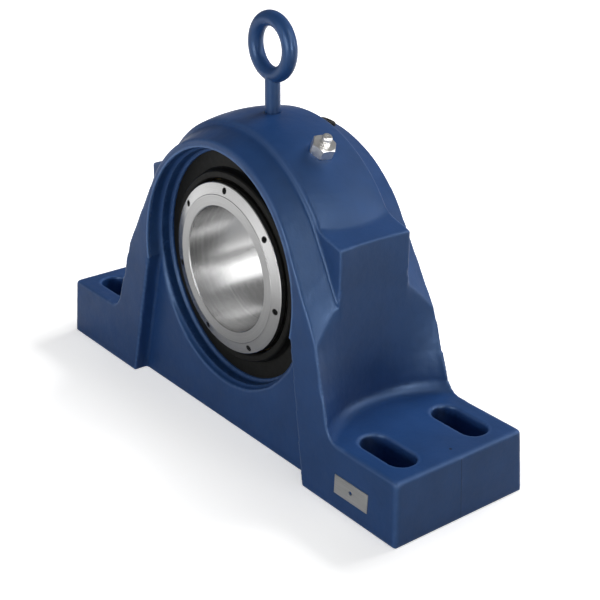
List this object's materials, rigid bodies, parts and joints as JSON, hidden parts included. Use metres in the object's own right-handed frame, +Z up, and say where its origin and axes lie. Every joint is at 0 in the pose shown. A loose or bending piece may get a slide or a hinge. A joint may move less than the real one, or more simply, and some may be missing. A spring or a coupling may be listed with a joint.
{
  "type": "roller bearing pillow block",
  "caption": "Pillow block with a one-piece cast housing, a self-aligning double-row roller bearing, a clamping sleeve and a lifting eye.",
  "frame": {"origin": "centre of the base's mounting surface, below the middle of the bearing", "axes": "+X along the base, +Y along the shaft towards the rear, +Z up from the mounting surface"},
  "size_m": [0.4436, 0.1264, 0.3257],
  "materials": {
    "blue_casting": "satin paint",
    "blue_steel": "satin paint",
    "plated_steel": "bright plated",
    "bearing_steel": "ground",
    "turned_steel": "finely turned",
    "dark_steel": "blackened",
    "cage_brass": "machined",
    "seal_rubber": "matt",
    "black_plastic": "matt",
    "plate_steel": "brushed"
  },
  "bodies": {
    "housing_group": {"housing": "blue_casting", "eye_bolt": "blue_steel", "grease_adapter": "plated_steel", "grease_nipple": "plated_steel", "blanking_plug": "black_plastic", "nameplate": "plate_steel", "outer_ring": "bearing_steel", "snap_ring_front": "dark_steel", "snap_ring_rear": "dark_steel", "seal_front": "seal_rubber", "seal_rear": "seal_rubber"},
    "nipple_ball": {"nipple_ball": "bearing_steel"},
    "aligning_core": {"guide_ring": "bearing_steel"},
    "shaft_group": {"inner_ring": "bearing_steel", "sleeve": "turned_steel", "sleeve_snap_ring": "dark_steel", "mounting_ring": "turned_steel", "grub_screws": "dark_steel"},
    "front_row": {"cage_front": "cage_brass", "roller_front_01": "bearing_steel", "roller_front_02": "bearing_steel", "roller_front_03": "bearing_steel", "roller_front_04": "bearing_steel", "roller_front_05": "bearing_steel", "roller_front_06": "bearing_steel", "roller_front_07": "bearing_steel", "roller_front_08": "bearing_steel", "roller_front_09": "bearing_steel", "roller_front_10": "bearing_steel", "roller_front_11": "bearing_steel", "roller_front_12": "bearing_steel", "roller_front_13": "bearing_steel", "roller_front_14": "bearing_steel", "roller_front_15": "bearing_steel", "roller_front_16": "bearing_steel", "roller_front_17": "bearing_steel", "roller_front_18": "bearing_steel"},
    "rear_row": {"cage_rear": "cage_brass", "roller_rear_01": "bearing_steel", "roller_rear_02": "bearing_steel", "roller_rear_03": "bearing_steel", "roller_rear_04": "bearing_steel", "roller_rear_05": "bearing_steel", "roller_rear_06": "bearing_steel", "roller_rear_07": "bearing_steel", "roller_rear_08": "bearing_steel", "roller_rear_09": "bearing_steel", "roller_rear_10": "bearing_steel", "roller_rear_11": "bearing_steel", "roller_rear_12": "bearing_steel", "roller_rear_13": "bearing_steel", "roller_rear_14": "bearing_steel", "roller_rear_15": "bearing_steel", "roller_rear_16": "bearing_steel", "roller_rear_17": "bearing_steel", "roller_rear_18": "bearing_steel"}
  },
  "joints": [
    {"name": "align_tilt", "type": "hinge", "parent": "housing_group", "child": "aligning_core", "pos_m": [0, 0, 0.131], "axis": [1, 0, 0], "range_deg": [-1.5, 1.5]},
    {"name": "shaft_spin", "type": "hinge", "parent": "aligning_core", "child": "shaft_group", "pos_m": [0, 0, 0.131], "axis": [0, 1, 0], "continuous": true},
    {"name": "front_cage_spin", "type": "hinge", "parent": "aligning_core", "child": "front_row", "pos_m": [0, 0, 0.131], "axis": [0, 1, 0], "continuous": true},
    {"name": "rear_cage_spin", "type": "hinge", "parent": "aligning_core", "child": "rear_row", "pos_m": [0, 0, 0.131], "axis": [0, 1, 0], "continuous": true},
    {"name": "nipple_ball_slide", "type": "slide", "parent": "housing_group", "child": "nipple_ball", "axis": [0.5, 0, 0.866], "range_m": [-0.0008, 0], "stiffness_N_per_m": 60, "springref_m": 0.001}
  ],
  "couplings": [
    {"joint": "front_cage_spin", "follows": "shaft_spin", "ratio": 0.4314},
    {"joint": "rear_cage_spin", "follows": "shaft_spin", "ratio": 0.4314}
  ]
}
